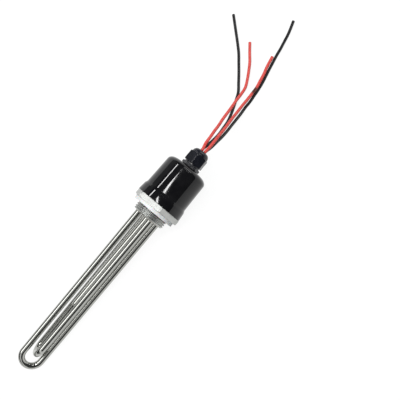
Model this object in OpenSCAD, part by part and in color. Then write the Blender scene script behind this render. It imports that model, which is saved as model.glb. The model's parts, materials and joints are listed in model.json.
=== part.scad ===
// Screw plug immersion heater: two crossed U tubes and a sensor pocket brazed into a hexagon plug,
// with a moulded cap over the terminals, a cable gland and four free leads.
// The heater lies on a flat surface, on the rim of its cap and on its two lowest tube legs.
// Every piece is drawn about the heater's own axis, with the seat of the washer at zero and the cap
// above it, and is then laid down: +X runs along the axis towards the leads, and +Z is up.

/* [Plug] */
// Outside diameter of the tank thread
thread_d = 33.25; // [32:0.05:38]
// Length of the thread below the washer, with its end chamfer
thread_len = 7.3; // [5:0.1:14]
// Chamfer at the end of the thread
thread_chamfer = 0.8; // [0.3:0.1:1.5]
// Depth of the relief groove behind the thread
relief_depth = 1.1; // [0.5:0.1:1.5]
// Width across the flats of the hexagon
hex_af = 44; // [43:0.1:48]
// Height of the hexagon
hex_h = 5.3; // [4:0.1:12]
// Turn of the hexagon about the axis
hex_turn = 2; // [0:1:10]
// Height of the chamfer on the hexagon's corners
hex_chamfer = 0.6; // [0.3:0.1:1]
// Diameter of the spigot that the cap screws on
spigot_d = 41; // [40:0.1:43]
// Height of the spigot
spigot_h = 6.7; // [5:0.1:8]

/* [Washer] */
// Thickness of the sealing washer
washer_t = 3.5; // [1.5:0.1:5]
// Width of the washer's ring
washer_w = 4.9; // [3:0.1:5.2]
// Gap between the washer and the crests of the thread
washer_gap = 0.15; // [0.05:0.05:0.5]

/* [Heating tubes] */
// Outside diameter of a tube
tube_d = 6.5; // [5:0.1:8]
// Diameter of the circle of tube holes
tube_circle_d = 21.2; // [18:0.1:22]
// Length of the longer tube below the thread
tube_len = 180.6; // [140:0.1:260]
// Step in length from the longer tube to the shorter one
tube_step = 14.6; // [9:0.1:20]
// Turn of the longer tube about the axis, at which both low legs meet the surface
tube_turn = 40.7; // [35:0.1:45]
// Height of the tube ends above the spigot
tube_stub = 2.5; // [1:0.1:4]
// Diameter of the sensor pocket
pocket_d = 6.5; // [5:0.1:8]
// Length of the sensor pocket below the thread
pocket_len = 107; // [60:1:120]
// Wall of the sensor pocket
pocket_wall = 0.8; // [0.4:0.1:1.2]

/* [Terminals] */
// Diameter of a terminal stud
stud_d = 3; // [2.5:0.1:3.2]
// Length of a stud inside its tube
stud_depth = 6; // [3:0.5:12]
// Length of a stud above its insulator
stud_reach = 7.5; // [7:0.1:9.5]
// Diameter of an insulator bush
insulator_d = 5.5; // [4.6:0.1:7]
// Height of an insulator bush
insulator_h = 3; // [2:0.1:4]
// Width across the flats of a stud nut
stud_nut_af = 5.5; // [5:0.1:6]
// Height of a stud nut
stud_nut_h = 2.4; // [1.8:0.1:2.6]
// Diameter of a lug's ring
lug_d = 6.6; // [5.5:0.1:7]
// Thickness of a lug's ring
lug_t = 0.8; // [0.5:0.1:1]
// Distance from a lug's hole to its barrel
lug_reach = 5.3; // [5.2:0.1:5.6]
// Wall of a lug's barrel
barrel_wall = 0.5; // [0.3:0.05:0.6]
// Height of a lug's barrel above its ring
barrel_h = 7; // [5:0.1:8]

/* [Cap] */
// Height of the cap
cap_h = 44.3; // [42:0.1:60]
// Wall of the cap's skirt at its rim
skirt_wall = 3.7; // [3:0.1:5]
// Height of the skirt
skirt_h = 8.2; // [7.5:0.1:10]
// Inward draft of the skirt over its height
skirt_draft = 0.8; // [0:0.1:1]
// Height of the sloped shoulder above the skirt
shoulder_h = 2.8; // [1.5:0.1:4]
// Diameter of the cap above the shoulder
cap_d = 44.5; // [43:0.1:46]
// Inward draft of the cap's side up to its top corner
cap_draft = 0.7; // [0:0.1:1.5]
// Width of the cap's rounded top corner
corner_w = 8; // [5:0.1:9]
// Height of the cap's rounded top corner
corner_h = 5.5; // [4:0.1:8]
// Wall of the cap
cap_wall = 2.5; // [1.5:0.1:3]
// Side of the square cap seal in the spigot's groove
seal_side = 2; // [1:0.1:3]
// Height of the cap seal above the cap's rim
seal_lift = 0.8; // [0.5:0.1:1.5]

/* [Gland] */
// Diameter of the gland's lower thread
gland_thread_d = 15.2; // [13:0.1:15.5]
// Height of the locknut under the cap's top
locknut_h = 4.5; // [3:0.1:6]
// Width across the flats of the locknut
locknut_af = 19; // [18:0.1:22]
// Thickness of the ring under the gland's flange
gland_ring_t = 0.8; // [0.5:0.1:1.2]
// Width across the flats of the gland's flange
flange_af = 17; // [16.8:0.1:20]
// Height of the gland's flange
flange_h = 2.6; // [2:0.1:5]
// Turn of the gland's flange about the axis
flange_turn = 21; // [0:1:60]
// Diameter of the collar above the flange
collar_d = 16.5; // [15.5:0.1:16.8]
// Height of the collar
collar_h = 1.4; // [0.6:0.1:3]
// Diameter of the gland's upper thread, inside the nut
upper_thread_d = 14.6; // [14:0.1:15.4]
// Width across the flats of the gland nut
nut_af = 17.7; // [17.5:0.1:20]
// Height of the hexagon part of the gland nut
nut_hex_h = 10; // [6:0.1:12]
// Height of the nut's dome
dome_h = 5.1; // [4:0.1:7]
// Turn of the gland nut about the axis
nut_turn = 39; // [0:1:60]
// Diameter of the nut's mouth
mouth_d = 8.6; // [8:0.1:10]
// Diameter of the gland's rubber bush
bush_d = 11; // [10:0.1:12]
// Height of the bush's seat above the collar
bush_seat = 1; // [0.5:0.1:3]
// Gap between the upper thread's end and the top of the nut's bore
thread_end_gap = 1; // [0.5:0.1:2]
// Bore of the gland below the bush
gland_bore_d = 9; // [8.6:0.1:9.6]

/* [Leads] */
// Outside diameter of a lead
lead_d = 3; // [1.5:0.1:3.2]
// Distance between neighbouring leads in the bush
lead_pitch = 3.6; // [3.2:0.1:4]
// Height over which a lead steps across inside the cap
lead_rise = 9; // [7:0.5:11]

/* [Hidden] */
$fn = 64;

// Cut depth past a face, so that a cut leaves no skin
eps = 0.5;
// Width across the corners of a hexagon, for a width across the flats of one
corners = 2 / sqrt(3);
up = [0, 0, 1];
// Turn that sets a stud nut's flat towards the axis
stud_nut_turn = 30;

// Colours
steel = [0.72, 0.71, 0.68];
tin = [0.78, 0.78, 0.8];
ceramic = [0.93, 0.9, 0.84];
white_rubber = [0.93, 0.93, 0.92];
gloss_black = [0.03, 0.03, 0.035];
nylon_black = [0.1, 0.1, 0.12];
red_rubber = [0.85, 0.12, 0.09];
black_rubber = [0.07, 0.07, 0.075];

// Levels along the axis, from the seat of the washer
hex_z = washer_t;
rim_z = hex_z + hex_h;
spigot_z = rim_z + spigot_h;
tube_top_z = spigot_z + tube_stub;
insulator_z = tube_top_z + insulator_h;
lug_z = insulator_z + stud_nut_h;
barrel_z = lug_z + lug_t + barrel_h;
cap_z = rim_z + cap_h;
flange_z = cap_z + gland_ring_t;
collar_z = flange_z + flange_h;
nut_z = collar_z + collar_h;
dome_z = nut_z + nut_hex_h;
mouth_z = dome_z + dome_h;
locknut_z = cap_z - cap_wall - locknut_h;
bush_z = nut_z + bush_seat;

// Sizes across
washer_in_d = thread_d + 2 * washer_gap;
tube_r = tube_d / 2;
circle_r = tube_circle_d / 2;
rim_r = spigot_d / 2 + skirt_wall;
seal_z = rim_z + seal_lift;

// Tubes: turn and length of each, in planes that cross at a right angle
long_tube = [tube_turn, tube_len];
short_tube = [tube_turn + 90, tube_len - tube_step];
leg_turns = [for (i = [0:3]) tube_turn + 90 * i];

// Lead places in the bush, at the corners of a square, and the leg that each lead starts from:
// each tube has one red and one black lead
lead_r = lead_pitch / sqrt(2);
red_a = [flange_turn + 45, leg_turns[0]];
red_b = [flange_turn + 135, leg_turns[1]];
black_b = [flange_turn + 225, leg_turns[2]];
black_a = [flange_turn + 315, leg_turns[3]];

// Lean of the heater: the angle at which the first low leg meets the surface under the cap's rim
function leg_drop(turn) = tube_r - circle_r * sin(turn);
function leg_reach(length) = thread_len + length - circle_r - tube_r;
function leg_lean(turn, length) = atan((rim_r - leg_drop(turn)) / (rim_z + leg_reach(length)));
lean = min([for (t = [long_tube, short_tube], half = [0, 180]) leg_lean(t[0] + half, t[1])]);
floor_z = rim_z * sin(lean) - rim_r * cos(lean);

// A point of the upright heater, laid down
function laid(p) = [
    p[2] * cos(lean) - p[1] * sin(lean),
    p[0],
    p[2] * sin(lean) + p[1] * cos(lean)
];

// Points of a quarter ellipse that closes a side into a top, inwards and upwards
function corner_points(r, z, w, h, steps = 8) =
    [for (i = [0:steps]) [r - w + w * cos(90 * i / steps), z - h + h * sin(90 * i / steps)]];

// Cord routes after the gland: place along X and Y, and height above the surface
red_a_points = [
    [80.5, 3, 30.75], [88, 4.5, 28.75], [96, 6.5, 26], [104, 8.5, 22.5], [112, 11, 19], [120, 13, 15.5],
    [128.5, 15, 12.5], [136.5, 17, 9.75], [144.5, 18.5, 7.25], [153, 20.5, 5.5], [161, 25, 3.75],
    [169.5, 30.5, 2.75], [178, 36.5, 2], [186, 43.5, 1.5], [195, 51, 1.5]
];
red_b_points = [
    [80.5, -2, 29.25], [88, -1, 27.5], [96, 0.5, 24.75], [103.5, 2, 21.5], [112, 4, 18], [120, 6, 14.5],
    [128, 7.5, 11.5], [136, 9, 9], [144, 10, 7], [152, 11, 5.75], [160, 12, 4.75], [167.5, 14, 4.25],
    [175.5, 16, 4], [183, 18.5, 4], [195, 21.5, 3.75]
];
black_a_points = [
    [81.5, 2, 26.5], [89.5, 2.5, 22.75], [97.5, 4, 18], [105.5, 6.5, 13.5], [114, 9, 9.5], [122.5, 12.5, 6.5],
    [130.5, 16.5, 3.75], [138.5, 20.5, 2], [146.5, 24.5, 1.5], [154.5, 31, 1.5], [163, 38, 1.5],
    [171, 45, 1.5], [179.5, 52.5, 1.5], [188, 61.5, 1.5], [196.5, 71, 1.5], [209.5, 85.5, 1.5]
];
black_b_points = [
    [81.5, -1.5, 24.5], [89, -1, 21.75], [97.5, 0, 17.5], [105.5, 1.5, 13.5], [113.5, 3.5, 9.5], [122, 5, 6.5],
    [130, 6.5, 3.75], [138, 8, 2], [145.5, 8.5, 1.5], [153, 9.5, 1.5], [160.5, 10.5, 1.5], [168.5, 12, 1.5],
    [176, 14, 1.5], [183.5, 16, 1.5], [191.5, 18, 1.5], [199.5, 20, 1.5], [207, 21.5, 1.5], [215, 23.5, 1.5],
    [223, 25.5, 1.5], [230.5, 28, 1.5], [238.5, 31, 1.5]
];

// Straight length of a lead past the gland's mouth
straight_out = 2;
function lead_place(lead, z) = [lead_r * cos(lead[0]), lead_r * sin(lead[0]), z];
function route(lead, points) = concat(
    [laid(lead_place(lead, mouth_z)), laid(lead_place(lead, mouth_z + straight_out))],
    [for (p = points) [p[0], p[1], p[2] + floor_z]]
);

// Rings of points along a route, and the skin between them
function unit(v) = v / norm(v);
function heading(path, i) = unit(path[min(i + 1, len(path) - 1)] - path[max(i - 1, 0)]);
function ring(path, i, r, sides) =
    let (ahead = heading(path, i), side = unit(cross(up, ahead)), over = cross(ahead, side))
    [for (k = [0:sides - 1]) path[i] + r * (cos(360 * k / sides) * side + sin(360 * k / sides) * over)];
function skin(rings, sides) = [
    for (i = [0:rings - 2], k = [0:sides - 1], half = [0, 1])
        let (a = i * sides + k, b = i * sides + (k + 1) % sides)
        half == 0 ? [a, a + sides, b] : [b, a + sides, b + sides]
];

module cord(path, d, sides = 8) {
    rings = len(path);
    first = [for (k = [0:sides - 1]) k];
    last = [for (k = [sides - 1:-1:0]) (rings - 1) * sides + k];
    polyhedron(
        points = [for (i = [0:rings - 1], p = ring(path, i, d / 2, sides)) p],
        faces = concat([first, last], skin(rings, sides))
    );
}

module lay() {
    rotate([0, -lean, 0]) rotate([90, 0, 90]) children();
}

module hexagon(af, h, turn) {
    rotate([0, 0, turn]) cylinder(d = af * corners, h = h, $fn = 6);
}

module on_circle(turns) {
    for (turn = turns) rotate([0, 0, turn]) translate([circle_r, 0, 0]) children();
}

// Plug: hexagon with chamfered corners, spigot above it, relief and thread below it
module plug_body() {
    corner_r = hex_af * corners / 2;
    color(steel) lay() difference() {
        union() {
            intersection() {
                translate([0, 0, hex_z]) hexagon(hex_af, hex_h, hex_turn);
                rotate([0, 0, hex_turn + 30]) rotate_extrude() polygon([
                    [0, hex_z - eps], [corner_r - 2 * (hex_chamfer + eps), hex_z - eps],
                    [corner_r + 2 * eps, hex_z + hex_chamfer + eps], [corner_r + 2 * eps, rim_z + eps], [0, rim_z + eps]
                ]);
            }
            translate([0, 0, rim_z - eps]) cylinder(d = spigot_d, h = spigot_h + eps);
            rotate_extrude() polygon([
                [0, -thread_len], [thread_d / 2 - thread_chamfer, -thread_len],
                [thread_d / 2, thread_chamfer - thread_len], [thread_d / 2, 0],
                [thread_d / 2 - relief_depth, 0], [thread_d / 2 - relief_depth, hex_z + eps], [0, hex_z + eps]
            ]);
        }
        translate([0, 0, -thread_len - eps]) {
            on_circle(leg_turns) cylinder(d = tube_d, h = spigot_z + thread_len + 2 * eps);
            cylinder(d = pocket_d, h = spigot_z + thread_len + 2 * eps);
        }
        translate([0, 0, seal_z]) difference() {
            cylinder(d = spigot_d + 2 * eps, h = seal_side);
            translate([0, 0, -eps]) cylinder(d = spigot_d - 2 * seal_side, h = seal_side + 2 * eps);
        }
    }
}

module sealing_washer() {
    color(white_rubber) lay() difference() {
        cylinder(d = washer_in_d + 2 * washer_w, h = washer_t);
        translate([0, 0, -eps]) cylinder(d = washer_in_d, h = washer_t + 2 * eps);
    }
}

// U tube: two legs, a half ring between them, and a blind hole in each end for its stud
module heating_tube(tube) {
    bend_z = circle_r + tube_r - thread_len - tube[1];
    color(steel) lay() rotate([0, 0, tube[0]]) difference() {
        union() {
            for (side = [-1, 1]) translate([side * circle_r, 0, bend_z])
                cylinder(r = tube_r, h = tube_top_z - bend_z);
            translate([0, 0, bend_z]) rotate([90, 0, 0]) rotate([0, 0, 180])
                rotate_extrude(angle = 180) translate([circle_r, 0]) circle(r = tube_r);
        }
        for (side = [-1, 1]) translate([side * circle_r, 0, tube_top_z - stud_depth])
            cylinder(d = stud_d, h = stud_depth + eps);
    }
}

module heating_tube_long() { heating_tube(long_tube); }
module heating_tube_short() { heating_tube(short_tube); }

// Sensor pocket: a tube on the axis with a rounded closed end
module sensor_pocket() {
    end_z = pocket_d / 2 - thread_len - pocket_len;
    bore_r = pocket_d / 2 - pocket_wall;
    color(steel) lay() difference() {
        union() {
            translate([0, 0, end_z]) sphere(d = pocket_d);
            translate([0, 0, end_z]) cylinder(d = pocket_d, h = tube_top_z - end_z);
        }
        translate([0, 0, end_z]) cylinder(r = bore_r, h = tube_top_z - end_z + eps);
    }
}

module insulators(tube) {
    color(ceramic) lay() on_circle([tube[0], tube[0] + 180]) translate([0, 0, tube_top_z]) difference() {
        cylinder(d = insulator_d, h = insulator_h);
        translate([0, 0, -eps]) cylinder(d = stud_d, h = insulator_h + 2 * eps);
    }
}

module insulators_long() { insulators(long_tube); }
module insulators_short() { insulators(short_tube); }

module studs(tube) {
    color(tin) lay() on_circle([tube[0], tube[0] + 180]) translate([0, 0, tube_top_z - stud_depth])
        cylinder(d = stud_d, h = stud_depth + insulator_h + stud_reach);
}

module studs_long() { studs(long_tube); }
module studs_short() { studs(short_tube); }

module stud_nut() {
    difference() {
        hexagon(stud_nut_af, stud_nut_h, stud_nut_turn);
        translate([0, 0, -eps]) cylinder(d = stud_d, h = stud_nut_h + 2 * eps);
    }
}

module lower_stud_nuts() {
    color(tin) lay() on_circle(leg_turns) translate([0, 0, insulator_z]) stud_nut();
}

module upper_stud_nuts() {
    color(tin) lay() on_circle(leg_turns) translate([0, 0, lug_z + lug_t]) stud_nut();
}

// Lug: a flat ring on the stud, a tongue towards the axis and an upright barrel on the lead
module lug(lead) {
    barrel_d = lead_d + 2 * barrel_wall;
    color(tin) lay() on_circle([lead[1]]) translate([0, 0, lug_z]) difference() {
        union() {
            cylinder(d = lug_d, h = lug_t);
            translate([-lug_reach, -barrel_d / 2, 0]) cube([lug_reach, barrel_d, lug_t]);
            translate([-lug_reach, 0, 0]) cylinder(d = barrel_d, h = lug_t + barrel_h);
        }
        translate([0, 0, -eps]) cylinder(d = stud_d, h = lug_t + 2 * eps);
        translate([-lug_reach, 0, lug_t]) cylinder(d = lead_d, h = barrel_h + eps);
    }
}

module red_lug_a() { lug(red_a); }
module red_lug_b() { lug(red_b); }
module black_lug_a() { lug(black_a); }
module black_lug_b() { lug(black_b); }

// Cap: drafted skirt, sloped shoulder, drafted side and rounded top corner, hollow inside
module cap() {
    shoulder_z = rim_z + skirt_h;
    side_z = shoulder_z + shoulder_h;
    side_r = cap_d / 2;
    top_r = side_r - cap_draft;
    inner_top_z = cap_z - cap_wall;
    color(gloss_black) lay() difference() {
        rotate_extrude() polygon(concat(
            [[0, rim_z], [rim_r, rim_z], [rim_r - skirt_draft, shoulder_z], [side_r, side_z]],
            corner_points(top_r, cap_z, corner_w, corner_h),
            [[0, cap_z]]
        ));
        rotate_extrude() polygon(concat(
            [[0, rim_z - eps], [spigot_d / 2, rim_z - eps], [spigot_d / 2, spigot_z]],
            [[side_r - cap_wall, side_z]],
            corner_points(top_r - cap_wall, inner_top_z, corner_w - cap_wall, corner_h - cap_wall),
            [[0, inner_top_z]]
        ));
        translate([0, 0, inner_top_z - eps]) cylinder(d = gland_thread_d, h = cap_wall + 2 * eps);
    }
}

module cap_seal() {
    color(nylon_black) lay() translate([0, 0, seal_z]) difference() {
        cylinder(d = spigot_d, h = seal_side);
        translate([0, 0, -eps]) cylinder(d = spigot_d - 2 * seal_side, h = seal_side + 2 * eps);
    }
}

// Gland body: lower thread through the cap, flange, collar and the upper thread that holds the bush
module gland_body() {
    color(nylon_black) lay() difference() {
        union() {
            translate([0, 0, locknut_z]) cylinder(d = gland_thread_d, h = flange_z + eps - locknut_z);
            translate([0, 0, flange_z]) hexagon(flange_af, flange_h, flange_turn);
            translate([0, 0, collar_z - eps]) cylinder(d = collar_d, h = collar_h + eps);
            translate([0, 0, nut_z - eps]) cylinder(d = upper_thread_d, h = nut_hex_h - thread_end_gap + eps);
        }
        translate([0, 0, locknut_z - eps]) cylinder(d = gland_bore_d, h = mouth_z - locknut_z);
        translate([0, 0, bush_z]) cylinder(d = bush_d, h = mouth_z - bush_z);
    }
}

module gland_ring() {
    color(nylon_black) lay() translate([0, 0, cap_z]) difference() {
        cylinder(d = collar_d, h = gland_ring_t);
        translate([0, 0, -eps]) cylinder(d = gland_thread_d, h = gland_ring_t + 2 * eps);
    }
}

module gland_locknut() {
    color(nylon_black) lay() translate([0, 0, locknut_z]) difference() {
        hexagon(locknut_af, locknut_h, flange_turn);
        translate([0, 0, -eps]) cylinder(d = gland_thread_d, h = locknut_h + 2 * eps);
    }
}

// Bush: a rubber plug with a hole for each lead
module gland_bush() {
    color(nylon_black) lay() difference() {
        translate([0, 0, bush_z]) cylinder(d = bush_d, h = dome_z - bush_z);
        for (lead = [red_a, red_b, black_a, black_b])
            translate(lead_place(lead, bush_z - eps)) cylinder(d = lead_d, h = dome_z - bush_z + 2 * eps);
    }
}

// Gland nut: a hexagon with a dome on it, bored for the upper thread and open at its mouth
module gland_nut() {
    dome_r = nut_af / 2;
    color(nylon_black) lay() difference() {
        union() {
            translate([0, 0, nut_z]) hexagon(nut_af, nut_hex_h, nut_turn);
            rotate_extrude() polygon(concat(
                [[0, dome_z - eps], [dome_r, dome_z - eps]],
                corner_points(dome_r, mouth_z, dome_r - mouth_d / 2, dome_h),
                [[0, mouth_z]]
            ));
        }
        translate([0, 0, nut_z - eps]) cylinder(d = upper_thread_d, h = nut_hex_h + eps);
        translate([0, 0, nut_z]) cylinder(d = mouth_d, h = mouth_z - nut_z + eps);
    }
}

// Lead inside the cap: up out of its barrel, over in a smooth step, and straight through the gland
function ease(t) = t * t * (3 - 2 * t);
function inner_route(lead, steps = 4) =
    let (
        start_r = circle_r - lug_reach,
        start = [start_r * cos(lead[1]), start_r * sin(lead[1]), barrel_z],
        over = lead_place(lead, barrel_z + lead_rise) - start
    )
    [for (p = concat(
        [start - [0, 0, barrel_h]],
        [for (i = [0:steps]) start + [ease(i / steps) * over[0], ease(i / steps) * over[1], over[2] * i / steps]],
        [lead_place(lead, mouth_z)]
    )) laid(p)];

module red_lead_a() { color(red_rubber) cord(inner_route(red_a), lead_d); }
module red_lead_b() { color(red_rubber) cord(inner_route(red_b), lead_d); }
module black_lead_a() { color(black_rubber) cord(inner_route(black_a), lead_d); }
module black_lead_b() { color(black_rubber) cord(inner_route(black_b), lead_d); }

module red_wire_a() { color(red_rubber) cord(route(red_a, red_a_points), lead_d); }
module red_wire_b() { color(red_rubber) cord(route(red_b, red_b_points), lead_d); }
module black_wire_a() { color(black_rubber) cord(route(black_a, black_a_points), lead_d); }
module black_wire_b() { color(black_rubber) cord(route(black_b, black_b_points), lead_d); }

plug_body();
sealing_washer();
heating_tube_long();
heating_tube_short();
sensor_pocket();
insulators_long();
insulators_short();
studs_long();
studs_short();
lower_stud_nuts();
upper_stud_nuts();
red_lug_a();
red_lug_b();
black_lug_a();
black_lug_b();
cap();
cap_seal();
gland_body();
gland_ring();
gland_locknut();
gland_bush();
gland_nut();
red_lead_a();
red_lead_b();
black_lead_a();
black_lead_b();
red_wire_a();
red_wire_b();
black_wire_a();
black_wire_b();
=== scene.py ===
import json
import math

import bmesh
import bpy
from mathutils import Matrix, Vector


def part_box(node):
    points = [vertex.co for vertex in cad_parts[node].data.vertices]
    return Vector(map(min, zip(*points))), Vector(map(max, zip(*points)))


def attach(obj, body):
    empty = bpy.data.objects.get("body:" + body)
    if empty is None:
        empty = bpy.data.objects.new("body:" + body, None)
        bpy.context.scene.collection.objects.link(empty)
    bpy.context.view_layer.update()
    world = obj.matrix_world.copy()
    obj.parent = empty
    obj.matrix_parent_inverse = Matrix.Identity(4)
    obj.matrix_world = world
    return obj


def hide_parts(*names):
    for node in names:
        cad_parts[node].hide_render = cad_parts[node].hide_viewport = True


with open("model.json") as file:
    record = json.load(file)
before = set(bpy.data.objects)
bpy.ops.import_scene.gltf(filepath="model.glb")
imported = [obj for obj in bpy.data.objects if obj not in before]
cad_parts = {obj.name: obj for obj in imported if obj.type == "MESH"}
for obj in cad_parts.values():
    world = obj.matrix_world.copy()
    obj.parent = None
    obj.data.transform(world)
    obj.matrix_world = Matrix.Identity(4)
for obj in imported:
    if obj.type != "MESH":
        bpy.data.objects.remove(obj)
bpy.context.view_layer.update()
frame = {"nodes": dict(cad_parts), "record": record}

# Sizes in millimetres, as in the part's source, about the heater's own axis
MM = 0.001

# Plug and washer
THREAD_R = 16.625
THREAD_LEN = 7.3
THREAD_PITCH = 2.309
THREAD_DEPTH = 1.2
THREAD_CHAMFER = 0.8
THREAD_TOP_Z = -0.05
CHAMFER_SLOPE = 1.5
ROOT_SHARE = 0.16
FLANK_SHARE = 0.68
FLANK_WEAR = 0.4
RELIEF_DEPTH = 1.1
RELIEF_Z = 0.3
HEX_AF = 44.0
HEX_Z = 3.5
HEX_TURN = 2
LOW_TRIM_W = 1.2
LOW_TRIM_H = 0.6
TOP_TRIM = 0.3
RIM_Z = 8.8
SPIGOT_R = 20.5
SPIGOT_Z = 15.5
SPIGOT_EDGE = 0.4
WASHER_IN_R = 16.775
WASHER_OUT_R = 21.675
WASHER_IN_EDGE = 0.3
WASHER_OUT_EDGE = 0.5

# Tubes and pocket, and the braze round them: out from the tube's side, up from the plug's end
TUBE_R = 3.25
CIRCLE_R = 10.6
TUBE_TOP_Z = 18.0
TUBE_TURN = 40.7
LONG_LEN = 180.6
TUBE_STEP = 14.6
LONG_DRAWN_IN = -1.3
SHORT_DRAWN_IN = -2.9
POCKET_LEN = 107.0
BRAZE_OUTLINE = [(-0.1, 0.1), (0.9, 0.1), (0.5, -0.12), (0.18, -0.45), (-0.1, -0.9)]

# Cap
RIM_R = 24.2
SKIRT_H = 8.2
SKIRT_DRAFT = 0.8
SHOULDER_H = 11.0
CAP_R = 22.25
CAP_DRAFT = 0.7
CAP_Z = 53.1
CAP_WALL = 2.5
CORNER_W = 8.0
CORNER_H = 5.5
RIM_EDGE = 0.5
SHOULDER_EDGE = 0.9
CAP_HOLE_EDGE = 0.3

# Gland, with small outlines that step out from a corner or the mouth, and up from their own level
GLAND_THREAD_R = 7.6
GLAND_TAIL = 4.5
GLAND_BORE_R = 4.5
GLAND_SEAT_R = 5.5
GLAND_SEAT_H = 1.0
GLAND_TOP_R = 7.3
GLAND_TOP_DROP = 1.0
FLANGE_Z = 53.9
FLANGE_AF = 17.0
FLANGE_TURN = 21
FLANGE_FOOT = [(-0.5, 0.0), (0.0, 0.3)]
COLLAR_Z = 56.5
COLLAR_R = 7.95
FLANGE_HEAD = [(0.0, -0.5), (-0.5, -0.2), (-1.0, 0.0)]
NUT_Z = 57.9
NUT_AF = 17.7
NUT_TURN = 39
NUT_FOOT = [(-0.6, 0.0), (-0.2, 0.2), (0.0, 0.5)]
DOME_Z = 67.9
DOME_INSET = 0.35
TRIM_BELOW = 1.0
TRIM_ABOVE = 0.4
MOUTH_Z = 73.0
MOUTH_R = 4.3
MOUTH_LIP = [(-0.1, -0.15), (0.0, -0.6)]

# Leads: four in a square, and the dark mark on one of them
LEAD_R = 1.5
LEAD_SPACING = 3.6
LEAD_CIRCLE_R = LEAD_SPACING / math.sqrt(2)
STRAIGHT_OUT = 2.0
STRAND_R = 0.2
STRAND_PROUD = 0.25
STRANDS_ROUND = 6
MARK_X = 156.0
MARK_HALF = 3.5

# Steps round a piece, and the radius that stands for a point on the axis
HEX_STEPS = 180
WASHER_STEPS = 160
CAP_STEPS = 192
POCKET_STEPS = 48
BRAZE_STEPS = 40
STRAND_STEPS = 10
POINT_R = 0.01

# The heater lies with its axis along the mount's axis, leaning a little out of the horizontal
mount_axis = next(m["axis"] for m in frame["record"]["mounts"] if m["name"] == "tank_thread")
AXIS = -Vector(mount_axis)
UP_ACROSS = Vector((-AXIS.z, 0.0, AXIS.x))
SIDE = Vector((0.0, 1.0, 0.0))
LAY = Matrix((SIDE, UP_ACROSS, AXIS)).transposed()
FLOOR_Z = min(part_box(n)[0][2] for n in ("cap", "heating_tube_long", "heating_tube_short"))

# Photograph: the camera stands straight above one point of the axis, its foot,
# which has its place in the 400 by 400 picture
PICTURE_SIZE = 400
FOOT_PIXEL = (159.6, 203.5)
FOOT_Z = 10.15
AXIS_ABOVE_RIGHT = math.radians(50)
MM_PER_PIXEL = 0.9314
VIEW_ROLL = math.radians(20.8)
CAMERA_DISTANCE = 0.65
SENSOR_WIDTH = 36.0


def laid(point):
    """A point of the upright heater, in millimetres, as a place in the frame"""
    return LAY @ Vector(point) * MM


# Camera
def make_camera():
    """Looks straight across the heater's axis, a little from the side, as the photograph does"""
    towards = (math.cos(VIEW_ROLL) * UP_ACROSS - math.sin(VIEW_ROLL) * SIDE).normalized()
    across = AXIS.cross(towards)
    turn = math.pi / 2 - AXIS_ABOVE_RIGHT
    right = math.cos(turn) * across + math.sin(turn) * AXIS
    above = math.cos(turn) * AXIS - math.sin(turn) * across
    data = bpy.data.cameras.new("camera")
    data.sensor_width = SENSOR_WIDTH
    data.lens = SENSOR_WIDTH * CAMERA_DISTANCE / (PICTURE_SIZE * MM_PER_PIXEL * MM)
    data.shift_x = 0.5 - FOOT_PIXEL[0] / PICTURE_SIZE
    data.shift_y = FOOT_PIXEL[1] / PICTURE_SIZE - 0.5
    camera = bpy.data.objects.new("camera", data)
    place = AXIS * FOOT_Z * MM + towards * CAMERA_DISTANCE
    facing = Matrix((right, above, towards)).transposed().to_4x4()
    camera.matrix_world = Matrix.Translation(place) @ facing
    bpy.context.scene.collection.objects.link(camera)
    bpy.context.scene.camera = camera
    return towards


TOWARDS = make_camera()

# Materials: noise is in cells to the metre, and the depth of a bump is in metres.
# The spans are the parts of the noise over which a colour or a roughness changes.
COLOUR_SPAN = (0.35, 0.65)
ROUGHNESS_SPAN = (0.3, 0.7)
MARK_STRENGTH = 0.9
MARK_FADE = (0.7, 1.3)
MIX_FACTOR, MIX_CLEAN, MIX_MARKED = 0, 6, 7
MIX_COLOUR = 2


def new_material(name, **sockets):
    """A material whose shader's own sockets hold the given values"""
    material = bpy.data.materials.new(name)
    material.use_nodes = True
    for socket, value in sockets.items():
        shader_of(material).inputs[socket.replace("_", " ")].default_value = value
    return material


def shader_of(material):
    """The material's one shader"""
    return material.node_tree.nodes["Principled BSDF"]


def even(cells):
    """The same number of cells in each direction"""
    return (cells, cells, cells)


def add_noise(material, stretch, detail=3.0):
    """Noise by the metre: a number of cells along the heater's axis, across it and up from it"""
    nodes = material.node_tree.nodes
    links = material.node_tree.links
    place = nodes.new("ShaderNodeTexCoord")
    align = nodes.new("ShaderNodeMapping")
    mapping = nodes.new("ShaderNodeMapping")
    noise = nodes.new("ShaderNodeTexNoise")
    align.inputs["Rotation"].default_value = (0.0, math.atan2(AXIS.z, AXIS.x), 0.0)
    mapping.inputs["Scale"].default_value = stretch
    noise.inputs["Scale"].default_value = 1.0
    noise.inputs["Detail"].default_value = detail
    links.new(place.outputs["Object"], align.inputs["Vector"])
    links.new(align.outputs["Vector"], mapping.inputs["Vector"])
    links.new(mapping.outputs["Vector"], noise.inputs["Vector"])
    return noise.outputs["Fac"]


def vary_colour(material, noise, dark, light):
    """Base colour that runs from dark to light with the noise"""
    ramp = material.node_tree.nodes.new("ShaderNodeValToRGB")
    for element, position, colour in zip(ramp.color_ramp.elements, COLOUR_SPAN, (dark, light)):
        element.position = position
        element.color = (*colour, 1.0)
    material.node_tree.links.new(noise, ramp.inputs["Fac"])
    material.node_tree.links.new(ramp.outputs["Color"], shader_of(material).inputs["Base Color"])


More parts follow.
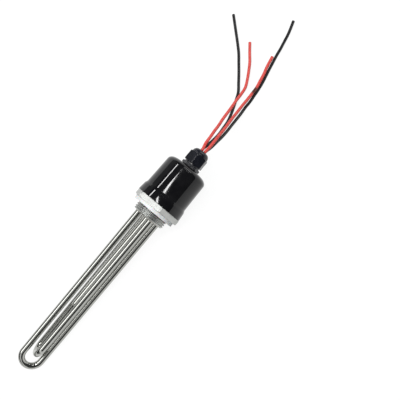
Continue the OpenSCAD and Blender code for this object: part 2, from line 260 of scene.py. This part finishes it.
def vary_roughness(material, noise, smooth, rough):
    """Roughness that runs from smooth to rough with the noise"""
    span = material.node_tree.nodes.new("ShaderNodeMapRange")
    span.inputs["From Min"].default_value = ROUGHNESS_SPAN[0]
    span.inputs["From Max"].default_value = ROUGHNESS_SPAN[1]
    span.inputs["To Min"].default_value = smooth
    span.inputs["To Max"].default_value = rough
    material.node_tree.links.new(noise, span.inputs["Value"])
    material.node_tree.links.new(span.outputs["Result"], shader_of(material).inputs["Roughness"])


def add_bump(material, noise, strength, depth):
    """Small height of the surface, with its depth in metres"""
    bump = material.node_tree.nodes.new("ShaderNodeBump")
    bump.inputs["Strength"].default_value = strength
    bump.inputs["Distance"].default_value = depth
    material.node_tree.links.new(noise, bump.inputs["Height"])
    material.node_tree.links.new(bump.outputs["Normal"], shader_of(material).inputs["Normal"])


def drawn_tube_material():
    """Stainless tube with fine streaks along its length"""
    material = new_material("drawn_tube", Metallic=1.0)
    streaks = add_noise(material, (12, 900, 900), detail=2.0)
    clouds = add_noise(material, (30, 60, 60), detail=2.0)
    vary_colour(material, clouds, dark=(0.38, 0.384, 0.36), light=(0.43, 0.434, 0.41))
    vary_roughness(material, streaks, smooth=0.08, rough=0.13)
    return material


def machined_material(name, dark, light, smooth, rough, grain, depth=0.00004):
    """Machined metal with fine tool marks"""
    material = new_material(name, Metallic=1.0)
    marks = add_noise(material, even(grain), detail=4.0)
    clouds = add_noise(material, even(140), detail=2.0)
    vary_colour(material, clouds, dark, light)
    vary_roughness(material, marks, smooth, rough)
    add_bump(material, marks, strength=0.06, depth=depth)
    return material


def gloss_black_material():
    """Glossy moulded plastic with a faint ripple and smudges"""
    material = new_material("gloss_black", IOR=1.42)
    smudges = add_noise(material, even(90))
    ripple = add_noise(material, even(260), detail=1.0)
    vary_colour(material, smudges, dark=(0.004, 0.004, 0.005), light=(0.008, 0.008, 0.009))
    vary_roughness(material, smudges, smooth=0.05, rough=0.10)
    add_bump(material, ripple, strength=0.02, depth=0.0001)
    return material


def moulded_black_material(name, dark, light, smooth, rough):
    """Satin moulded plastic or rubber with a fine grain"""
    material = new_material(name)
    grain = add_noise(material, even(2600), detail=2.0)
    clouds = add_noise(material, even(160), detail=2.0)
    vary_colour(material, clouds, dark, light)
    vary_roughness(material, clouds, smooth, rough)
    add_bump(material, grain, strength=0.25, depth=0.00005)
    return material


def washer_material():
    """White silicone, slightly cloudy"""
    material = new_material("white_silicone", Subsurface_Weight=0.15, Subsurface_Scale=0.0008)
    clouds = add_noise(material, even(220))
    grain = add_noise(material, even(1800), detail=2.0)
    vary_colour(material, clouds, dark=(0.82, 0.83, 0.82), light=(0.88, 0.89, 0.88))
    vary_roughness(material, clouds, smooth=0.42, rough=0.58)
    add_bump(material, grain, strength=0.15, depth=0.00005)
    return material


def lead_material(name, dark, light):
    """Smooth silicone insulation with slight handling marks"""
    material = new_material(name)
    marks = add_noise(material, (350, 900, 900))
    grain = add_noise(material, even(3000), detail=2.0)
    vary_colour(material, marks, dark, light)
    vary_roughness(material, marks, smooth=0.34, rough=0.5)
    add_bump(material, grain, strength=0.15, depth=0.00003)
    return material


def red_lead_material(name):
    """The red insulation"""
    return lead_material(name, dark=(0.66, 0.062, 0.050), light=(0.80, 0.098, 0.080))


def add_mark(material, place, half_length, colour):
    """A dark mark across a lead at one place along the frame's X, faded at its two ends"""
    nodes = material.node_tree.nodes
    links = material.node_tree.links
    coordinates = nodes.new("ShaderNodeTexCoord")
    parts = nodes.new("ShaderNodeSeparateXYZ")
    offset = nodes.new("ShaderNodeMath")
    distance = nodes.new("ShaderNodeMath")
    fade = nodes.new("ShaderNodeMapRange")
    mix = nodes.new("ShaderNodeMix")
    offset.operation = "SUBTRACT"
    offset.inputs[1].default_value = place
    distance.operation = "ABSOLUTE"
    fade.inputs["From Min"].default_value = half_length * MARK_FADE[0]
    fade.inputs["From Max"].default_value = half_length * MARK_FADE[1]
    fade.inputs["To Min"].default_value = MARK_STRENGTH
    fade.inputs["To Max"].default_value = 0.0
    mix.data_type = "RGBA"
    mix.inputs[MIX_MARKED].default_value = (*colour, 1.0)
    base = shader_of(material).inputs["Base Color"]
    links.new(coordinates.outputs["Object"], parts.inputs["Vector"])
    links.new(parts.outputs["X"], offset.inputs[0])
    links.new(offset.outputs["Value"], distance.inputs[0])
    links.new(distance.outputs["Value"], fade.inputs["Value"])
    links.new(fade.outputs["Result"], mix.inputs[MIX_FACTOR])
    links.new(base.links[0].from_socket, mix.inputs[MIX_CLEAN])
    links.new(mix.outputs[MIX_COLOUR], base)


def ceramic_material():
    """Unglazed ceramic with fine specks"""
    material = new_material("ceramic_bush")
    specks = add_noise(material, even(1500))
    vary_colour(material, specks, dark=(0.72, 0.68, 0.60), light=(0.82, 0.79, 0.72))
    vary_roughness(material, specks, smooth=0.7, rough=0.9)
    return material


TUBE_METAL = drawn_tube_material()
PLUG_METAL = machined_material("plug_steel", dark=(0.44, 0.45, 0.435), light=(0.50, 0.51, 0.495),
                               smooth=0.38, rough=0.44, grain=900, depth=0.00001)
BRAZE_METAL = machined_material("braze", dark=(0.40, 0.38, 0.33), light=(0.52, 0.50, 0.45),
                                smooth=0.3, rough=0.5, grain=700)
TIN_METAL = machined_material("tinned", dark=(0.62, 0.62, 0.63), light=(0.72, 0.72, 0.73),
                              smooth=0.25, rough=0.4, grain=1200)
COPPER_METAL = machined_material("copper", dark=(0.60, 0.30, 0.18), light=(0.75, 0.42, 0.28),
                                 smooth=0.25, rough=0.4, grain=3000)
CAP_BLACK = gloss_black_material()
GLAND_BLACK = moulded_black_material("gland_nylon", dark=(0.004, 0.005, 0.009), light=(0.008, 0.009, 0.015),
                                     smooth=0.22, rough=0.32)
SEAL_BLACK = moulded_black_material("seal_rubber", dark=(0.014, 0.014, 0.014), light=(0.022, 0.022, 0.022),
                                    smooth=0.6, rough=0.75)
WASHER_WHITE = washer_material()
LEAD_RED = red_lead_material("red_silicone")
LEAD_RED_MARKED = red_lead_material("red_silicone_marked")
add_mark(LEAD_RED_MARKED, MARK_X * MM, MARK_HALF * MM, colour=(0.055, 0.016, 0.006))
LEAD_BLACK = lead_material("black_silicone", dark=(0.003, 0.003, 0.004), light=(0.007, 0.007, 0.008))
CERAMIC = ceramic_material()


# Mesh tools
def add_piece(name, verts, faces, material, nodes=(), sharp=35):
    """A mesh piece in the frame that rides on the heater and stands for the given nodes"""
    mesh = bpy.data.meshes.new(name)
    mesh.from_pydata(verts, [], faces)
    shape = bmesh.new()
    shape.from_mesh(mesh)
    bmesh.ops.recalc_face_normals(shape, faces=shape.faces)
    shape.to_mesh(mesh)
    shape.free()
    mesh.polygons.foreach_set("use_smooth", [True] * len(mesh.polygons))
    mesh.set_sharp_from_angle(angle=math.radians(sharp))
    mesh.materials.append(material)
    piece = bpy.data.objects.new(name, mesh)
    bpy.context.scene.collection.objects.link(piece)
    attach(piece, "root")
    if nodes:
        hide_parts(*nodes)
    return piece


def skin(rings, loop, base=0):
    """Faces between rings of equal count, closed by end faces or into a loop"""
    count = len(rings[0])
    faces = []
    pairs = len(rings) if loop else len(rings) - 1
    for i in range(pairs):
        here = base + i * count
        ahead = base + ((i + 1) % len(rings)) * count
        for k in range(count):
            k2 = (k + 1) % count
            faces.append((here + k, here + k2, ahead + k2, ahead + k))
    if not loop:
        faces.append(tuple(base + k for k in range(count)))
        faces.append(tuple(base + (len(rings) - 1) * count + k for k in range(count)))
    return faces


def flat(rings):
    """The rings' points in one list"""
    return [point for ring in rings for point in ring]


def lathe(rings, loop=False):
    """Vertices and faces of rings about the axis: each ring lists its radius and height step by step"""
    verts = []
    for ring in rings:
        for k, (r, z) in enumerate(ring):
            angle = math.tau * k / len(ring)
            verts.append(laid((r * math.cos(angle), r * math.sin(angle), z)))
    return verts, skin(rings, loop)


def round_rings(profile, steps):
    """Rings of a turned profile of radius and height"""
    return [[(r, z)] * steps for r, z in profile]


def hex_radius(af, turn, k):
    """Distance from the axis to a hexagon's side at one step round it"""
    angle = (360 * k / HEX_STEPS - turn) % 60 - 30
    return af / 2 / math.cos(math.radians(angle))


def hex_rings(profile, af, turn):
    """Rings of a hexagon that a turned profile of radius and height trims at its corners"""
    return [[(min(r, hex_radius(af, turn, k)), z) for k in range(HEX_STEPS)] for r, z in profile]


def hex_corner(af):
    """Distance from the axis to a hexagon's corner"""
    return af / math.sqrt(3)


def moved(outline, r, z):
    """An outline of small steps, moved to a radius and a height"""
    return [(r + out, z + up) for out, up in outline]


def fillet(profile, steps=5):
    """A profile of radius, height and corner size, with its corners rounded by smooth curves"""
    points = []
    for i, (r, z, size) in enumerate(profile):
        corner = Vector((r, z))
        before = Vector(profile[i - 1][:2]) - corner
        after = Vector(profile[(i + 1) % len(profile)][:2]) - corner
        if size == 0:
            points.append((r, z))
            continue
        half = before.angle(after) / 2
        back = size / math.tan(half)
        start = corner + before.normalized() * back
        end = corner + after.normalized() * back
        for s in range(steps + 1):
            t = s / steps
            point = start * (1 - t) ** 2 + corner * 2 * t * (1 - t) + end * t ** 2
            points.append(tuple(point))
    return points


def quarter(r, z, wide, high, steps=14):
    """A quarter ellipse from a side up and in to a top"""
    points = []
    for i in range(steps + 1):
        angle = math.pi / 2 * i / steps
        points.append((r - wide + wide * math.cos(angle), z - high + high * math.sin(angle)))
    return points


def sharp_corners(points):
    """Points of a profile whose corners fillet leaves as they are"""
    return [(r, z, 0) for r, z in points]


def sweep(path, radius, normal, sides=40):
    """Vertices and faces of a round tube along a path that lies nearly in one plane"""
    rings = []
    for i, point in enumerate(path):
        ahead = (path[min(i + 1, len(path) - 1)] - path[max(i - 1, 0)]).normalized()
        over = ahead.cross(normal).normalized()
        side = over.cross(ahead)
        ring = []
        for k in range(sides):
            angle = math.tau * k / sides
            ring.append(laid(point + radius * (math.cos(angle) * side + math.sin(angle) * over)))
        rings.append(ring)
    return flat(rings), skin(rings, False)


# Cords: the free lengths of the four leads, along the same points as the part's solids.
# Each has its turn in the gland, then points of X, Y and height over the floor.
CORDS = {
    "red_wire_a": (45, LEAD_RED, "wire_red", [
        (80.5, 3, 30.75), (88, 4.5, 28.75), (96, 6.5, 26), (104, 8.5, 22.5), (112, 11, 19), (120, 13, 15.5),
        (128.5, 15, 12.5), (136.5, 17, 9.75), (144.5, 18.5, 7.25), (153, 20.5, 5.5), (161, 25, 3.75),
        (169.5, 30.5, 2.75), (178, 36.5, 2), (186, 43.5, 1.5), (195, 51, 1.5)]),
    "red_wire_b": (135, LEAD_RED_MARKED, "wire_red", [
        (80.5, -2, 29.25), (88, -1, 27.5), (96, 0.5, 24.75), (103.5, 2, 21.5), (112, 4, 18), (120, 6, 14.5),
        (128, 7.5, 11.5), (136, 9, 9), (144, 10, 7), (152, 11, 5.75), (160, 12, 4.75), (167.5, 14, 4.25),
        (175.5, 16, 4), (183, 18.5, 4), (195, 21.5, 3.75)]),
    "black_wire_a": (315, LEAD_BLACK, "wire_black", [
        (81.5, 2, 26.5), (89.5, 2.5, 22.75), (97.5, 4, 18), (105.5, 6.5, 13.5), (114, 9, 9.5),
        (122.5, 12.5, 6.5), (130.5, 16.5, 3.75), (138.5, 20.5, 2), (146.5, 24.5, 1.5), (154.5, 31, 1.5),
        (163, 38, 1.5), (171, 45, 1.5), (179.5, 52.5, 1.5), (188, 61.5, 1.5), (196.5, 71, 1.5),
        (209.5, 85.5, 1.5)]),
    "black_wire_b": (225, LEAD_BLACK, "wire_black", [
        (81.5, -1.5, 24.5), (89, -1, 21.75), (97.5, 0, 17.5), (105.5, 1.5, 13.5), (113.5, 3.5, 9.5),
        (122, 5, 6.5), (130, 6.5, 3.75), (138, 8, 2), (145.5, 8.5, 1.5), (153, 9.5, 1.5), (160.5, 10.5, 1.5),
        (168.5, 12, 1.5), (176, 14, 1.5), (183.5, 16, 1.5), (191.5, 18, 1.5), (199.5, 20, 1.5),
        (207, 21.5, 1.5), (215, 23.5, 1.5), (223, 25.5, 1.5), (230.5, 28, 1.5), (238.5, 31, 1.5)]),
}


def lead_place(turn, z):
    """A lead's place in the gland at one height on the axis"""
    angle = math.radians(FLANGE_TURN + turn)
    return laid((LEAD_CIRCLE_R * math.cos(angle), LEAD_CIRCLE_R * math.sin(angle), z))


def smooth_path(points, steps=8):
    """A smooth curve through the points, with even steps between each pair"""
    ends = [points[0] * 2 - points[1]] + points + [points[-1] * 2 - points[-2]]
    path = []
    for i in range(1, len(ends) - 2):
        a, b, c, d = ends[i - 1:i + 3]
        for s in range(steps):
            t = s / steps
            path.append(0.5 * (2 * b + (c - a) * t + (2 * a - 5 * b + 4 * c - d) * t ** 2
                               + (3 * b - a - 3 * c + d) * t ** 3))
    return path + [points[-1]]


def add_strands(name, path):
    """The cut conductor: one copper strand and a ring of others, just proud of the insulation's end"""
    end = path[-1]
    ahead = (path[-1] - path[-2]).normalized()
    side = ahead.cross(Vector((0, 0, 1))).normalized()
    over = side.cross(ahead)
    strand_r = STRAND_R * MM
    proud = STRAND_PROUD * MM
    verts = []
    faces = []
    places = [Vector((0, 0))]
    for k in range(STRANDS_ROUND):
        angle = math.tau * k / STRANDS_ROUND
        places.append(Vector((math.cos(angle), math.sin(angle))) * 2 * strand_r)
    for x, y in places:
        rings = []
        for step in (-proud, proud):
            ring = []
            for k in range(STRAND_STEPS):
                angle = math.tau * k / STRAND_STEPS
                off = side * (x + strand_r * math.cos(angle)) + over * (y + strand_r * math.sin(angle))
                ring.append(end + ahead * step + off)
            rings.append(ring)
        faces += skin(rings, False, len(verts))
        verts += flat(rings)
    return add_piece(name, verts, faces, COPPER_METAL)


def add_cord(node, turn, material, points):
    """One free lead as a round curve, from the gland's mouth to its cut end"""
    route = [lead_place(turn, MOUTH_Z), lead_place(turn, MOUTH_Z + STRAIGHT_OUT)]
    route += [Vector((x * MM, y * MM, FLOOR_Z + height * MM)) for x, y, height in points]
    path = smooth_path(route)
    curve = bpy.data.curves.new(node + "_skin", "CURVE")
    curve.dimensions = "3D"
    curve.bevel_depth = LEAD_R * MM
    curve.bevel_resolution = 6
    curve.use_fill_caps = True
    spline = curve.splines.new("POLY")
    spline.points.add(len(path) - 1)
    for target, point in zip(spline.points, path):
        target.co = (*point, 1.0)
    curve.materials.append(material)
    piece = bpy.data.objects.new(node + "_skin", curve)
    bpy.context.scene.collection.objects.link(piece)
    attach(piece, "root")
    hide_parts(node)
    strands = add_strands(node + "_strands", path)


for cord_node, (cord_turn, cord_material, cord_slot, cord_points) in CORDS.items():
    add_cord(cord_node, cord_turn, cord_material, cord_points)


# Plug
def thread_ring(z):
    """Radii of the pipe thread round the axis at one height, with its end chamfer"""
    limit = THREAD_R - max(0.0, THREAD_CHAMFER - (z + THREAD_LEN)) * CHAMFER_SLOPE
    ring = []
    for k in range(HEX_STEPS):
        phase = (z / THREAD_PITCH - k / HEX_STEPS) % 1.0
        rise = abs(2 * phase - 1)
        flank = min(1.0, max(0.0, (rise - ROOT_SHARE) / FLANK_SHARE))
        soft = flank * flank * (3 - 2 * flank)
        height = (1 - FLANK_WEAR) * flank + FLANK_WEAR * soft
        ring.append((min(THREAD_R - THREAD_DEPTH * (1 - height), limit), z))
    return ring


def make_plug():
    """Hexagon with trimmed corners, spigot above it, relief and a true helical thread below it"""
    thread_rows = 56
    low_steps = 6
    top_steps = 3
    corner_r = hex_corner(HEX_AF)
    relief_r = THREAD_R - RELIEF_DEPTH
    low_trim = []
    for i in range(low_steps + 1):
        t = i / low_steps
        low_trim.append((corner_r - LOW_TRIM_W * (1 - t), HEX_Z + LOW_TRIM_H * t))
    top_trim = []
    for i in range(top_steps + 1):
        t = i / top_steps
        top_trim.append((corner_r - TOP_TRIM * t, RIM_Z - TOP_TRIM * (1 - t)))
    spigot = [(SPIGOT_R, RIM_Z), (SPIGOT_R, SPIGOT_Z - SPIGOT_EDGE), (SPIGOT_R - SPIGOT_EDGE, SPIGOT_Z)]
    rings = round_rings([(POINT_R, -THREAD_LEN)], HEX_STEPS)
    for i in range(thread_rows + 1):
        rings.append(thread_ring(-THREAD_LEN + (THREAD_TOP_Z + THREAD_LEN) * i / thread_rows))
    rings += round_rings([(relief_r, RELIEF_Z), (relief_r, HEX_Z)], HEX_STEPS)
    rings += hex_rings(low_trim + top_trim, HEX_AF, HEX_TURN)
    rings += round_rings(spigot + [(POINT_R, SPIGOT_Z)], HEX_STEPS)
    verts, faces = lathe(rings)
    add_piece("plug", verts, faces, PLUG_METAL, ["plug_body"], 28)


def make_braze():
    """A small fillet of braze round each tube where it leaves the plug"""
    verts = []
    faces = []
    places = [(0.0, 0.0)]
    for k in range(4):
        angle = math.radians(TUBE_TURN + 90 * k)
        places.append((CIRCLE_R * math.cos(angle), CIRCLE_R * math.sin(angle)))
    for x, y in places:
        rings = []
        for r, z in moved(BRAZE_OUTLINE, TUBE_R, -THREAD_LEN):
            ring = []
            for k in range(BRAZE_STEPS):
                angle = math.tau * k / BRAZE_STEPS
                ring.append(laid((x + r * math.cos(angle), y + r * math.sin(angle), z)))
            rings.append(ring)
        faces += skin(rings, True, len(verts))
        verts += flat(rings)
    add_piece("braze_fillets", verts, faces, BRAZE_METAL)


def make_washer():
    """A flat ring with rounded edges"""
    profile = fillet([(WASHER_IN_R, 0, WASHER_IN_EDGE), (WASHER_OUT_R, 0, WASHER_OUT_EDGE),
                      (WASHER_OUT_R, HEX_Z, WASHER_OUT_EDGE), (WASHER_IN_R, HEX_Z, WASHER_IN_EDGE)])
    verts, faces = lathe(round_rings(profile, WASHER_STEPS), loop=True)
    add_piece("washer", verts, faces, WASHER_WHITE, ["sealing_washer"])


make_plug()
make_braze()
make_washer()


# Heating tubes and sensor pocket
def make_tube(name, node, turn, length, drawn_in):
    """A U tube: down one leg, round the half ring and up the other leg, one leg drawn sideways at the bend"""
    bend_steps = 48
    angle = math.radians(turn)
    up = Vector((0, 0, 1))
    first = Vector((math.cos(angle), math.sin(angle), 0)) * CIRCLE_R
    second = -first
    first_end = first + Vector((drawn_in[0], 0, 0))
    second_end = second + Vector((drawn_in[1], 0, 0))
    middle = (first_end + second_end) / 2
    half = (first_end - second_end) / 2
    bend_r = half.length
    bend_z = bend_r + TUBE_R - THREAD_LEN - length
    path = [first + up * TUBE_TOP_Z, first - up * THREAD_LEN]
    for i in range(bend_steps + 1):
        bend = math.pi * i / bend_steps
        path.append(middle + half * math.cos(bend) + up * (bend_z - bend_r * math.sin(bend)))
    path += [second - up * THREAD_LEN, second + up * TUBE_TOP_Z]
    normal = half.cross(up).normalized()
    verts, faces = sweep(path, TUBE_R, normal)
    add_piece(name, verts, faces, TUBE_METAL, [node])


def make_pocket():
    """A straight tube on the axis with a rounded closed end"""
    dome_steps = 10
    end_z = -THREAD_LEN - POCKET_LEN
    profile = [(POINT_R, end_z)]
    for i in range(1, dome_steps + 1):
        angle = math.pi / 2 * i / dome_steps
        profile.append((TUBE_R * math.sin(angle), end_z + TUBE_R * (1 - math.cos(angle))))
    profile += [(TUBE_R, TUBE_TOP_Z), (POINT_R, TUBE_TOP_Z)]
    verts, faces = lathe(round_rings(profile, POCKET_STEPS))
    add_piece("pocket", verts, faces, TUBE_METAL, ["sensor_pocket"])


make_tube("long_tube", "heating_tube_long", TUBE_TURN, LONG_LEN, (LONG_DRAWN_IN, 0))
make_tube("short_tube", "heating_tube_short", TUBE_TURN + 90, LONG_LEN - TUBE_STEP, (0, SHORT_DRAWN_IN))
make_pocket()


# Cap
def make_cap():
    """A hollow moulding: drafted skirt, sloped shoulder, drafted side and rounded top corner"""
    inner_top = CAP_Z - CAP_WALL
    side_z = RIM_Z + SHOULDER_H
    top_r = CAP_R - CAP_DRAFT
    outside = [(RIM_R, RIM_Z, RIM_EDGE), (RIM_R - SKIRT_DRAFT, RIM_Z + SKIRT_H, SHOULDER_EDGE),
               (CAP_R, side_z, SHOULDER_EDGE)]
    outside += sharp_corners(quarter(top_r, CAP_Z, CORNER_W, CORNER_H))
    outside += [(GLAND_THREAD_R, CAP_Z, CAP_HOLE_EDGE)]
    inner_corner = quarter(top_r - CAP_WALL, inner_top, CORNER_W - CAP_WALL, CORNER_H - CAP_WALL)
    inside = [(GLAND_THREAD_R, inner_top)] + inner_corner[::-1]
    inside += [(CAP_R - CAP_WALL, side_z), (SPIGOT_R, SPIGOT_Z), (SPIGOT_R, RIM_Z)]
    profile = fillet(outside + sharp_corners(inside))
    verts, faces = lathe(round_rings(profile, CAP_STEPS), loop=True)
    add_piece("cap_shell", verts, faces, CAP_BLACK, ["cap"], 40)


make_cap()


# Gland
def make_gland_body():
    """Lower thread through the cap, hexagon flange with eased edges, collar and upper thread"""
    corner_r = hex_corner(FLANGE_AF)
    tail_z = CAP_Z - CAP_WALL - GLAND_TAIL
    top_z = DOME_Z - GLAND_TOP_DROP
    seat_z = NUT_Z + GLAND_SEAT_H
    lower = [(GLAND_BORE_R, tail_z), (GLAND_THREAD_R, tail_z), (GLAND_THREAD_R, FLANGE_Z)]
    flange = moved(FLANGE_FOOT, corner_r, FLANGE_Z) + moved(FLANGE_HEAD, corner_r, COLLAR_Z)
    upper = [(COLLAR_R, COLLAR_Z), (COLLAR_R, NUT_Z), (GLAND_TOP_R, NUT_Z), (GLAND_TOP_R, top_z),
             (GLAND_SEAT_R, top_z), (GLAND_SEAT_R, seat_z), (GLAND_BORE_R, seat_z)]
    rings = round_rings(lower, HEX_STEPS)
    rings += hex_rings(flange, FLANGE_AF, FLANGE_TURN)
    rings += round_rings(upper, HEX_STEPS)
    verts, faces = lathe(rings, loop=True)
    add_piece("gland_fitting", verts, faces, GLAND_BLACK, ["gland_body"], 30)


def make_gland_nut():
    """Hexagon with trimmed corners that runs up into a dome, open at its mouth"""
    trim_steps = 8
    dome_steps = 18
    corner_r = hex_corner(NUT_AF)
    dome_r = NUT_AF / 2 - DOME_INSET
    trim_h = TRIM_BELOW + TRIM_ABOVE
    sides = moved(NUT_FOOT, corner_r, NUT_Z)
    for i in range(trim_steps + 1):
        t = i / trim_steps
        sides.append((corner_r - (corner_r - dome_r) * t ** 2, DOME_Z - TRIM_BELOW + trim_h * t))
    dome = quarter(dome_r, MOUTH_Z, dome_r - MOUTH_R, MOUTH_Z - DOME_Z - TRIM_ABOVE, dome_steps)
    lip = moved(MOUTH_LIP, MOUTH_R, MOUTH_Z)
    inner = [(MOUTH_R, DOME_Z), (GLAND_TOP_R, DOME_Z), (GLAND_TOP_R, NUT_Z)]
    rings = hex_rings(sides, NUT_AF, NUT_TURN)
    rings += round_rings(dome + lip + inner, HEX_STEPS)
    verts, faces = lathe(rings, loop=True)
    add_piece("gland_cap_nut", verts, faces, GLAND_BLACK, ["gland_nut"], 30)


make_gland_body()
make_gland_nut()

# Pieces that the cap and the gland hide keep their solids and take a finish
HIDDEN_FINISH = {
    "insulators_long": CERAMIC, "insulators_short": CERAMIC,
    "studs_long": TIN_METAL, "studs_short": TIN_METAL,
    "lower_stud_nuts": TIN_METAL, "upper_stud_nuts": TIN_METAL,
    "red_lug_a": TIN_METAL, "red_lug_b": TIN_METAL, "black_lug_a": TIN_METAL, "black_lug_b": TIN_METAL,
    "cap_seal": SEAL_BLACK, "gland_ring": SEAL_BLACK, "gland_bush": SEAL_BLACK, "gland_locknut": GLAND_BLACK,
    "red_lead_a": LEAD_RED, "red_lead_b": LEAD_RED, "black_lead_a": LEAD_BLACK, "black_lead_b": LEAD_BLACK,
}
for finish_node, finish in HIDDEN_FINISH.items():
    finish_mesh = frame["nodes"][finish_node].data
    finish_mesh.materials.clear()
    finish_mesh.materials.append(finish)

# Floor, room and lights, in metres: radiance and levels count white as one
FLOOR_HALF = 6.0
WALL_H = 1.2
FLOOR_GREY = 0.14
FLOOR_GLOW = 0.9
ROOM_COLOUR = (0.97, 0.98, 1.0)
ROOM_LEVEL = 0.07
ROOM_SOFT_LIGHT = 0.30
LIGHT_DISTANCE = 0.9
TUBE_SHIFT = -0.36
TUBE_PANEL_LENGTH = 0.78


def floor_material():
    """White to the eye, in reflections and through glass, with a grey part that takes the shadow"""
    material = bpy.data.materials.new("floor_white")
    material.use_nodes = True
    nodes = material.node_tree.nodes
    links = material.node_tree.links
    nodes.clear()
    out = nodes.new("ShaderNodeOutputMaterial")
    total = nodes.new("ShaderNodeAddShader")
    matte = nodes.new("ShaderNodeBsdfDiffuse")
    glow = nodes.new("ShaderNodeEmission")
    rays = nodes.new("ShaderNodeLightPath")
    seen = nodes.new("ShaderNodeMath")
    shown = nodes.new("ShaderNodeMath")
    level = nodes.new("ShaderNodeMath")
    matte.inputs["Color"].default_value = (FLOOR_GREY, FLOOR_GREY, FLOOR_GREY, 1.0)
    seen.operation = "MAXIMUM"
    shown.operation = "MAXIMUM"
    level.operation = "MULTIPLY"
    level.inputs[1].default_value = FLOOR_GLOW
    links.new(rays.outputs["Is Camera Ray"], seen.inputs[0])
    links.new(rays.outputs["Is Transmission Ray"], seen.inputs[1])
    links.new(seen.outputs["Value"], shown.inputs[0])
    links.new(rays.outputs["Is Glossy Ray"], shown.inputs[1])
    links.new(shown.outputs["Value"], level.inputs[0])
    links.new(level.outputs["Value"], glow.inputs["Strength"])
    links.new(matte.outputs["BSDF"], total.inputs[0])
    links.new(glow.outputs["Emission"], total.inputs[1])
    links.new(total.outputs["Shader"], out.inputs["Surface"])
    return material


def make_floor():
    """A pale floor with a low wall round it"""
    mesh = bpy.data.meshes.new("floor")
    plan = [(x * FLOOR_HALF, y * FLOOR_HALF) for x, y in ((-1, -1), (1, -1), (1, 1), (-1, 1))]
    corners = [(x, y, z) for z in (FLOOR_Z, FLOOR_Z + WALL_H) for x, y in plan]
    walls = [(k, (k + 1) % 4, (k + 1) % 4 + 4, k + 4) for k in range(4)]
    mesh.from_pydata(corners, [], [(0, 1, 2, 3)] + walls)
    mesh.materials.append(floor_material())
    floor = bpy.data.objects.new("floor", mesh)
    bpy.context.scene.collection.objects.link(floor)


def add_light(name, wide, length, radiance, swing=0, tip=0, shift=0.0, turn=0):
    """A soft panel that faces the heater, swung round its axis and tipped along it from the camera's side,
    then shifted along the axis and turned in its own plane"""
    swung = Matrix.Rotation(math.radians(swing), 3, AXIS) @ TOWARDS
    across = AXIS.cross(swung)
    towards = Matrix.Rotation(math.radians(-tip), 3, across) @ swung
    along = towards.cross(across)
    data = bpy.data.lights.new(name, "AREA")
    data.shape = "RECTANGLE"
    data.size = wide
    data.size_y = length
    data.energy = radiance * math.pi * wide * length
    light = bpy.data.objects.new(name, data)
    place = AXIS * shift + towards * LIGHT_DISTANCE
    facing = Matrix((across, along, towards)).transposed().to_4x4()
    light.matrix_world = Matrix.Translation(place) @ facing @ Matrix.Rotation(math.radians(turn), 4, "Z")
    bpy.context.scene.collection.objects.link(light)


def set_world():
    """A dim room, with more soft light on matte surfaces than the glossy ones mirror"""
    world = bpy.data.worlds.new("studio")
    world.use_nodes = True
    nodes = world.node_tree.nodes
    links = world.node_tree.links
    rays = nodes.new("ShaderNodeLightPath")
    soft = nodes.new("ShaderNodeMath")
    soft.operation = "MULTIPLY_ADD"
    soft.inputs[1].default_value = ROOM_SOFT_LIGHT
    soft.inputs[2].default_value = ROOM_LEVEL
    nodes["Background"].inputs["Color"].default_value = (*ROOM_COLOUR, 1.0)
    links.new(rays.outputs["Is Diffuse Ray"], soft.inputs[0])
    links.new(soft.outputs["Value"], nodes["Background"].inputs["Strength"])
    bpy.context.scene.world = world


make_floor()
add_light("tube_panel", wide=0.4, length=TUBE_PANEL_LENGTH, radiance=3.6, swing=-38, shift=TUBE_SHIFT)
add_light("tube_fill", wide=0.3, length=TUBE_PANEL_LENGTH, radiance=0.7, swing=-4, shift=TUBE_SHIFT)
add_light("cap_strip", wide=0.045, length=0.34, radiance=34.0, swing=-15, shift=0.10, turn=71)
add_light("cap_side_strip", wide=0.055, length=0.2, radiance=30.0, swing=-57, shift=0.165)
add_light("left_fill", wide=0.8, length=1.2, radiance=0.2, swing=-95)
add_light("shoulder_strip", wide=0.6, length=0.03, radiance=8.0, swing=-8, tip=28)
add_light("head_panel", wide=0.5, length=0.25, radiance=4.0, tip=66)
add_light("end_panel", wide=1.2, length=0.25, radiance=1.2, swing=10, tip=-45, shift=-0.15)
set_world()
bpy.context.scene.view_settings.view_transform = "Standard"
